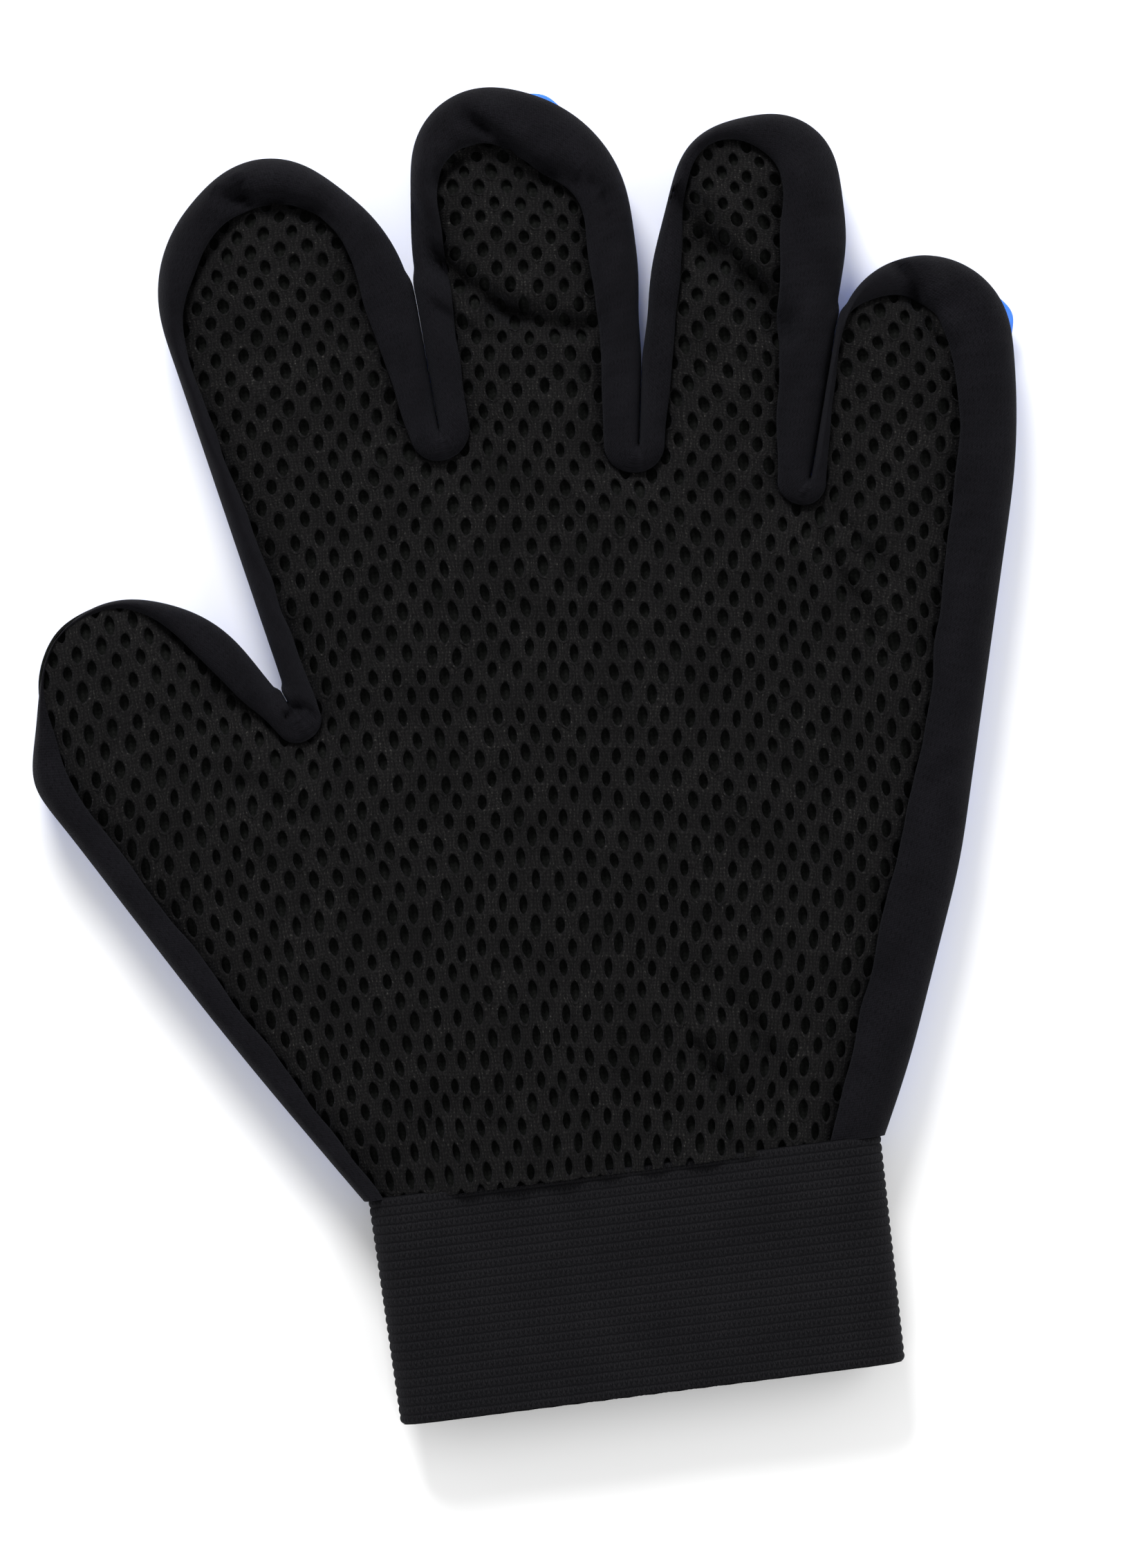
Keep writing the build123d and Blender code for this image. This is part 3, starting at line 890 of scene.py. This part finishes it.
def panel_layer(material):
    """The back panel: one face with real oval holes whose walls run down to the lining."""
    place = hole_places()
    centres, rim = mesh_cells()
    rng = np.random.default_rng(7)
    middles = place(centres[:, 0], centres[:, 1])
    inside, _ = SEAM.measure(middles)
    keep = (inside > -2.2) & (middles[:, 1] > -79.0)
    centres = centres[keep]
    count, sides = len(centres), len(rim)
    angle = np.arctan2(rim[:, 1] * CELL_TALL, rim[:, 0])
    size = 0.215 * rng.uniform(0.88, 1.08, (count, 1))
    tall = rng.uniform(0.98, 1.14, (count, 1))
    tilt = rng.normal(0.0, 0.16, (count, 1))
    shift = rng.normal(0.0, 0.03, (count, 1, 2))
    across = size * (np.cos(angle) * np.abs(np.cos(angle)) ** 0.2)[None]
    down = size * tall * np.sin(angle)[None]
    hole = np.stack([across + 0.6 * tilt * down, down - 0.6 * tilt * across], 2) + shift
    points, depth, threads = [], [], []
    for border, opening, drop, columns in CELL_RINGS:
        numbers = centres[:, None] + border * rim[None] + opening * hole
        points.append(place(numbers[..., 0], numbers[..., 1]))
        depth.append(np.full((count, sides), drop))
        spots = np.stack([centres[:, :1] + columns * rim[None, :, 0], numbers[..., 1]], 2)
        threads.append(spots * KNIT_PITCH)
    plan = np.stack(points, 1).reshape(-1, 2)
    depth = np.stack(depth, 1).ravel()
    uv = np.stack(threads, 1).reshape(-1, 2)
    inside, nearest = SEAM.measure(plan)
    over = inside < -0.4
    plan[over] = SEAM.line[nearest[over]] + 0.4 * SEAM.out[nearest[over]]
    plan[:, 1] = np.maximum(plan[:, 1], PANEL_END_Y)
    faces = []
    for cell in range(count):
        faces += ring_faces(cell * len(CELL_RINGS) * sides, len(CELL_RINGS), sides)
    mesh = make_mesh("panel", laid(plan, depth), faces, uv)
    with edited(mesh) as bm:
        bmesh.ops.remove_doubles(bm, verts=bm.verts, dist=0.03 * MM)
        flat = [f for f in bm.faces if f.calc_area() < 1e-10]
        bmesh.ops.delete(bm, geom=flat, context="FACES_ONLY")
        bmesh.ops.delete(bm, geom=[v for v in bm.verts if not v.link_faces], context="VERTS")
    zone_pieces("mesh", mesh, material, nodes_like("back_mesh"))


# ==== flat layers ===================================================================================
def filled_area(edge, step):
    """Plan points and triangles that fill a closed line, with inner points a step apart."""
    border = [Vector(p) for p in edge]
    low, high = edge.min(0), edge.max(0)
    xs = np.arange(low[0], high[0], step)
    ys = np.arange(low[1], high[1], step * 0.87)
    spots = np.array([(x + step / 2 * (k % 2), y) for k, y in enumerate(ys) for x in xs])
    inside, _ = Edge(edge).measure(spots)
    spots = spots[inside > 0.45 * step]
    inner = [Vector(p) for p in spots]
    loop = [(k, (k + 1) % len(border)) for k in range(len(border))]
    result = geometry.delaunay_2d_cdt(border + inner, loop, [list(range(len(border)))], 1, 1e-6)
    return np.array([tuple(p) for p in result[0]]), [tuple(f) for f in result[2]]


def closed(line, count):
    """A line from wrist to wrist, closed along the hem with count points."""
    hem = spread(np.array([line[-1], line[0]]), count + 1)[1:-1]
    return np.vstack([line, hem])


def lining_layer(material):
    """The inner face of the spacer mesh, seen through its holes."""
    line = spread(seam, 900)
    plan, faces = filled_area(closed(line + 0.9 * normals_of(line), 70), 2.0)
    mesh = make_mesh("lining", laid(plan, MESH_DEEP - 0.05), faces, plan)
    zone_pieces("lining", mesh, material)


def palm_cloth_layer(material):
    """The cloth that the rubber palm is moulded on."""
    plan, faces = filled_area(closed(outline - 1.5 * normals_of(outline), 80), 3.0)
    points = np.column_stack([plan, PALM_CLOTH_Z + 0.12 * waves(plan, 9.0, 0.4)])
    mesh = make_mesh("palm_cloth", points, faces, plan)
    zone_pieces("palm_cloth", mesh, material, nodes_like("palm_cloth"))


# ==== the rubber palm ===============================================================================
TOOTH_PITCH, ROW_STEP = 8.6, 0.866
TOOTH_SIDES = 14
# A tooth as (radius, height): a filleted root, a cone and a domed end.
TOOTH = [(2.3, 5.12), (1.95, PAD_LOW), (1.66, 4.7), (1.5, 4.2), (1.12, 0.9)]
TOOTH += [(1.05 * math.cos(a), 0.62 - 0.6 * math.sin(a)) for a in (0.35, 0.8, 1.2)]
# The pad shows a little past the strip at these spots of the outline: (x, y, how far).
PAD_PEEPS = [(13.5, 112.0, 1.25), (89.6, 64.4, 1.5)]
PEEP_REACH = 3.4
# The rim of the pad as (how far in from the outline, height).
RIM = [(1.6, PAD_TOP), (0.7, 6.45), (0.35, 6.1), (0.3, 5.7), (0.5, 5.25), (0.95, PAD_LOW)]


def tooth_spots():
    """The middle of every tooth of the CAD pads, from the level ends of the teeth."""
    spots = set()
    for name in nodes_like("rubber_pad"):
        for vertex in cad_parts[name].data.vertices:
            if vertex.co.z < 1e-5:
                x, y = vertex.co.x / MM, vertex.co.y / MM
                row = round(y / (TOOTH_PITCH * ROW_STEP))
                shift = TOOTH_PITCH / 2 if row % 2 else 0.0
                x = round((x - shift) / TOOTH_PITCH) * TOOTH_PITCH + shift
                spots.add((x, row * TOOTH_PITCH * ROW_STEP))
    return sorted(spots)


def rubber_layer(material):
    """The moulded palm: a thin sheet with a rounded rim."""
    rings = []
    base = closed(outline, 80)
    out = normals_of(np.vstack([base[-1:], base, base[:1]]))[1:-1]
    peep = np.zeros(len(base))
    for x, y, size in PAD_PEEPS:
        peep += size * bell(np.hypot(base[:, 0] - x, base[:, 1] - y) / PEEP_REACH)
    for inset, z in RIM:
        rings.append(np.column_stack([base + (peep - inset)[:, None] * out, np.full(len(base), z)]))
    grid = np.stack(rings, 1)
    points = [grid.reshape(-1, 3)]
    faces = grid_faces(len(RIM), len(base), closed=True)
    total = grid.size // 3
    for ring, turn in ((rings[0], 1), (rings[-1], -1)):
        z = ring[0, 2]
        more, fill = filled_area(ring[:, :2], 3.0)
        points.append(np.column_stack([more, np.full(len(more), z)]))
        faces += [tuple(v + total for v in f[::turn]) for f in fill]
        total += len(more)
    points = np.vstack(points)
    sheet = make_mesh("pad", points, faces, points[:, :2])
    with edited(sheet) as bm:
        bmesh.ops.remove_doubles(bm, verts=bm.verts, dist=0.02 * MM)
        bmesh.ops.recalc_face_normals(bm, faces=bm.faces)
    zone_pieces("pad", sheet, material, nodes_like("rubber_pad"))


def teeth_layer(material):
    """All the teeth, each of them whole and open where it sinks into the sheet."""
    points, faces = [], []
    for x, y in tooth_spots():
        faces += ring_faces(len(points), len(TOOTH), TOOTH_SIDES)
        for radius, z in TOOTH:
            for k in range(TOOTH_SIDES):
                a = 2 * math.pi * k / TOOTH_SIDES
                points.append((x + radius * math.cos(a), y + radius * math.sin(a), z))
        faces.append(tuple(range(len(points) - 1, len(points) - 1 - TOOTH_SIDES, -1)))
    points = np.array(points)
    mesh = make_mesh("teeth", points, faces, points[:, :2])
    zone_pieces("teeth", mesh, material, part_points=len(TOOTH) * TOOTH_SIDES)


# ==== the elastic cuff ==============================================================================
CUFF_TOP_Y, CUFF_END_Y = -75.6, -115.7
CUFF_LEFT, CUFF_RIGHT, CUFF_LOW, CUFF_HIGH = -41.3, 49.6, 4.4, 17.0
CUFF_HALF = 0.8
FIXED_END_X, GAP_END_X = -19.0, -34.3
TAB_ROOT_X, TAB_END_X, TAB_Z = -33.0, 10.0, 1.3
RIB = 1.6
SCALLOP = 0.9
TAPE_TOP_Y, TAPE_END_Y = -80.0, -111.7
RELAX_X = 4.2
# The line of a hook, as (sideways, up) from the tape.
HOOK = [(0.0, 0.0), (0.04, 0.25), (0.02, 0.42), (0.14, 0.54), (0.3, 0.5), (0.36, 0.38)]
HOOK_TAPE_TOP = 2.5


def arc_line(x, z, radius, start, end, count):
    """Points along an arc, from one angle in degrees to another."""
    turns = np.radians(np.linspace(start, end, count))
    return np.column_stack([x + radius * np.cos(turns), z + radius * np.sin(turns)])


def band_line():
    """The middle of the band's wall, from its free edge under the palm, round to the tab's root."""
    middle = (CUFF_LOW + CUFF_HIGH) / 2
    radius = middle - CUFF_LOW - CUFF_HALF
    left, right = CUFF_LEFT + CUFF_HALF + radius, CUFF_RIGHT - CUFF_HALF - radius
    return np.vstack([
        [(FIXED_END_X + CUFF_HALF, CUFF_LOW + CUFF_HALF)],
        arc_line(right, middle, radius, -90, 90, 19),
        arc_line(left, middle, radius, 90, 270, 19),
        [(GAP_END_X - CUFF_HALF + 0.2, CUFF_LOW + CUFF_HALF)],
    ])


def tab_line():
    """The middle of the tab: out of its nose, down a slope and along under the cuff."""
    x = np.concatenate([np.linspace(TAB_ROOT_X, -21.0, 25), [TAB_END_X - CUFF_HALF]])
    return np.column_stack([x, TAB_Z + (CUFF_LOW + CUFF_HALF - TAB_Z) * smooth(-23.0, -31.5, x)])


def ribbon_mesh(line, half, top, end, ribbed, scallop):
    """Webbing as a closed skin: its wall follows line in X and Z, and its width runs along Y."""
    fine = spread(line, max(8, round(run_along(line)[-1] / 0.45)))
    coarse = spread(line, max(6, len(fine) // 5))[::-1]
    out_fine, out_coarse = -normals_of(fine), -normals_of(coarse)
    caps = []
    for spot, out in ((fine[-1], out_fine[-1]), (fine[0], -out_fine[0])):
        turns = np.radians([-60, -30, 0, 30, 60])
        ahead_way = np.array([-out[1], out[0]])
        caps.append([np.cos(t) * ahead_way - np.sin(t) * out for t in turns])
    loop = [(p, o, 1.0) for p, o in zip(fine, out_fine)]
    loop += [(fine[-1], o, 0.0) for o in caps[0]]
    loop += [(p, o, 1.0) for p, o in zip(coarse, out_coarse)]
    loop += [(fine[0], o, 0.0) for o in caps[1]]
    spots = np.array([p for p, _, _ in loop])
    outs = np.array([o for _, o, _ in loop])
    ribs = np.array([r for _, _, r in loop])
    edge = np.array([0.0, 0.12, 0.3, 0.55, 0.9])
    count = round((top - end - 2) / (RIB / 8))
    ys = np.concatenate([end + edge, np.linspace(end + 1.1, top - 1.1, count), top - edge[::-1]])
    inset = np.minimum(ys - end, top - ys)
    rounding = half - np.sqrt(np.maximum(half**2 - np.maximum(half - inset, 0.0) ** 2, 0.0))
    length = run_along(spots)
    rib = ribbed * 0.3 * (np.abs(np.sin(math.pi * (ys - end) / RIB)) ** 0.6 - 1.0)
    offset = half - rounding[None] + ribs[:, None] * rib[None]
    x = spots[:, None, 0] + outs[:, None, 0] * offset
    z = spots[:, None, 1] + outs[:, None, 1] * offset
    y = np.broadcast_to(ys[None], x.shape).copy()
    low_edge = smooth(end + 0.8, end, y)
    y -= scallop * low_edge * 0.16 * np.abs(np.sin(math.pi * length / SCALLOP))[:, None]
    points = np.stack([x, y, z], 2)
    uv = np.stack([np.broadcast_to(length[:, None], x.shape), y - end], 2)
    return points, uv


def ribbon(name, line, half, ends, material, body, node, ribbed=1.0, scallop=0.0, shape=None):
    """A piece of webbing or tape between two heights y, reshaped if there is a shape."""
    points, uv = ribbon_mesh(line, half, *ends, ribbed, scallop)
    flat = points.reshape(-1, 3)
    if shape:
        flat = shape(flat)
    faces = grid_faces(points.shape[1], points.shape[0], closed=True)
    mesh = make_mesh(name, flat, faces, uv.reshape(-1, 2))
    with edited(mesh) as bm:
        bmesh.ops.recalc_face_normals(bm, faces=bm.faces)
    rigid_piece(name, mesh, material, body, node)


def relax_band(points):
    """The worn-in lie of the cuff: a little narrower at its free end, and not quite flat."""
    points = points.copy()
    down = np.clip((CUFF_TOP_Y - points[:, 1]) / (CUFF_TOP_Y - CUFF_END_Y), 0, 1)
    points[:, 0] = RELAX_X + (points[:, 0] - RELAX_X) * (1.0 - 0.016 * down)
    top = smooth(11.0, 16.0, points[:, 2])
    points[:, 2] += top * 0.5 * (waves(points, 24.0, 9.1) - 0.6)
    return points


def hook_layer(material):
    """Rows of small hooks that stand on the hook tape and lean by turns to either side."""
    points, faces = [], []
    for row, y in enumerate(np.arange(-110.5, -80.5, 1.35)):
        lean = 1 if row % 2 else -1
        for x in np.arange(-15.0, 8.0, 1.15):
            faces += rod_faces(len(points), len(HOOK), 4)
            for k, (side, height) in enumerate(HOOK):
                thick = 0.11 - 0.012 * k
                for dx, dy in ((-thick, -0.14), (thick, -0.14), (thick, 0.14), (-thick, 0.14)):
                    points.append((x + lean * side + dx, y + dy, HOOK_TAPE_TOP + height))
    points = np.array(points)
    mesh = make_mesh("hooks", points, faces, points[:, :2])
    rigid_piece("hooks", mesh, material, "tab")


# ==== sewing ========================================================================================
SEWING_Y = -77.6
STITCH, STITCH_GAP = 1.7, 0.7
THREAD_RADIUS, THREAD_RINGS, THREAD_SIDES = 0.13, 6, 6


def cuff_sewing(thread):
    """The line that sews the cuff to the back: short humps of thread, their ends sunk in the cloth."""
    xs = np.linspace(-36.0, 44.0, 120)
    level = np.full_like(xs, CUFF_HIGH - 0.36)
    line = relax_band(np.column_stack([xs, np.full_like(xs, SEWING_Y), level]))
    along = run_along(line)

    def spot(where):
        return np.array([np.interp(where, along, column) for column in line.T])

    points, faces = [], []
    for start in np.arange(STITCH_GAP, along[-1] - STITCH, STITCH + STITCH_GAP):
        faces += rod_faces(len(points), THREAD_RINGS, THREAD_SIDES)
        for t in np.linspace(0.0, 1.0, THREAD_RINGS):
            middle = spot(start + t * STITCH)
            way = spot(start + t * STITCH + 0.2) - middle
            way /= np.linalg.norm(way)
            side = np.array([-way[1], way[0], 0.0])
            lift = THREAD_RADIUS * (1.2 * math.sin(math.pi * t) - 0.6)
            fat = THREAD_RADIUS * (0.6 + 0.4 * math.sin(math.pi * t))
            for k in range(THREAD_SIDES):
                a = 2 * math.pi / THREAD_SIDES * k
                up = np.array([0.0, 0.0, lift + fat * math.sin(a)])
                points.append(middle + side * fat * math.cos(a) + up)
    points = np.array(points)
    mesh = make_mesh("cuff_stitches_back", points, faces, points[:, :2])
    rigid_piece("cuff_stitches_back", mesh, thread, "hand")


# ==== build =========================================================================================
black_mesh = mesh_material()
side_knit = strip_material()
elastic = elastic_material()
rubber = rubber_material()
lining = lining_material("lining", (0.0022, 0.0025, 0.0023), (0.0105, 0.0112, 0.0104))
palm_cloth = lining_material("palm_cloth", (0.0015, 0.0015, 0.0018), (0.007, 0.007, 0.0086))
pile = plain_material("loop_pile", (0.009, 0.009, 0.0105), 0.95, 0.5)
hook_plastic = plain_material("hook_plastic", (0.014, 0.014, 0.016), 0.45, 0.4)
thread = plain_material("thread", (0.0022, 0.0022, 0.0026), 0.9, 0.2)

strip_layer(side_knit)
panel_layer(black_mesh)
lining_layer(lining)
palm_cloth_layer(palm_cloth)
rubber_layer(rubber)
teeth_layer(rubber)
ribbon("cuff_band_webbing", band_line(), CUFF_HALF, (CUFF_TOP_Y, CUFF_END_Y), elastic, "hand",
       "cuff_band", scallop=1.0, shape=relax_band)
ribbon("cuff_tab_webbing", tab_line(), CUFF_HALF, (CUFF_TOP_Y - 1.0, CUFF_END_Y + 0.6), elastic, "tab",
       "cuff_tab", scallop=1.0)
ribbon("loop_tape_pile", np.array([(-16.4, 3.8), (19.4, 3.8)]), 0.6, (TAPE_TOP_Y, TAPE_END_Y), pile,
       "hand", "loop_tape", ribbed=0.3)
ribbon("hook_tape_base", np.array([(-15.8, 2.3), (8.3, 2.3)]), 0.2, (TAPE_TOP_Y, TAPE_END_Y),
       hook_plastic, "tab", "hook_tape", ribbed=0.0)
hook_layer(hook_plastic)
cuff_sewing(thread)


# ==== stage, light and camera =======================================================================
def make_stage():
    mesh = bpy.data.meshes.new("floor")
    mesh.from_pydata([(-3, -3, 0), (3, -3, 0), (3, 3, 0), (-3, 3, 0)], [], [(0, 1, 2, 3)])
    shader = Shader("floor")
    shader.set(Base_Color=(0.93, 0.93, 0.93, 1.0), Roughness=0.9)
    floor = make_object("floor", mesh, shader.material)
    world = bpy.data.worlds.new("studio")
    world.use_nodes = True
    world.node_tree.nodes["Background"].inputs["Color"].default_value = (1.0, 1.0, 1.0, 1.0)
    world.node_tree.nodes["Background"].inputs["Strength"].default_value = 0.85
    bpy.context.scene.world = world
    bpy.context.scene.view_settings.view_transform = "Standard"


def make_light(name, place, size, power):
    """A round lamp turned to the middle of the glove: place and size in metres, power in watts."""
    data = bpy.data.lights.new(name, "AREA")
    data.shape = "DISK"
    data.size = size
    data.energy = power
    lamp = bpy.data.objects.new(name, data)
    lamp.location = place
    lamp.rotation_euler = (Vector((0, 0, 0)) - Vector(place)).to_track_quat("-Z", "Y").to_euler()
    bpy.context.scene.collection.objects.link(lamp)


# How far the view is turned, in degrees, and what it is centred on and takes in.
LEAN = 7.25
VIEW_CENTRE = (1.7, -7.6, 12.0)
VIEW_HEIGHT = 275.6
CAMERA_HEIGHT = 1800.0
SENSOR = 36.0


def make_camera():
    data = bpy.data.cameras.new("camera")
    data.sensor_fit = "VERTICAL"
    data.sensor_height = SENSOR
    data.lens = SENSOR * CAMERA_HEIGHT / VIEW_HEIGHT
    data.clip_start = 0.05
    camera = bpy.data.objects.new("camera", data)
    camera.location = (VIEW_CENTRE[0] * MM, VIEW_CENTRE[1] * MM, (VIEW_CENTRE[2] + CAMERA_HEIGHT) * MM)
    camera.rotation_euler = (0.0, 0.0, -math.radians(LEAN))
    bpy.context.scene.collection.objects.link(camera)
    bpy.context.scene.camera = camera


make_stage()
make_light("key", (-0.15, 1.05, 0.95), 0.5, 18.0)
make_light("fill", (0.9, 0.1, 1.0), 0.8, 5.0)
make_camera()
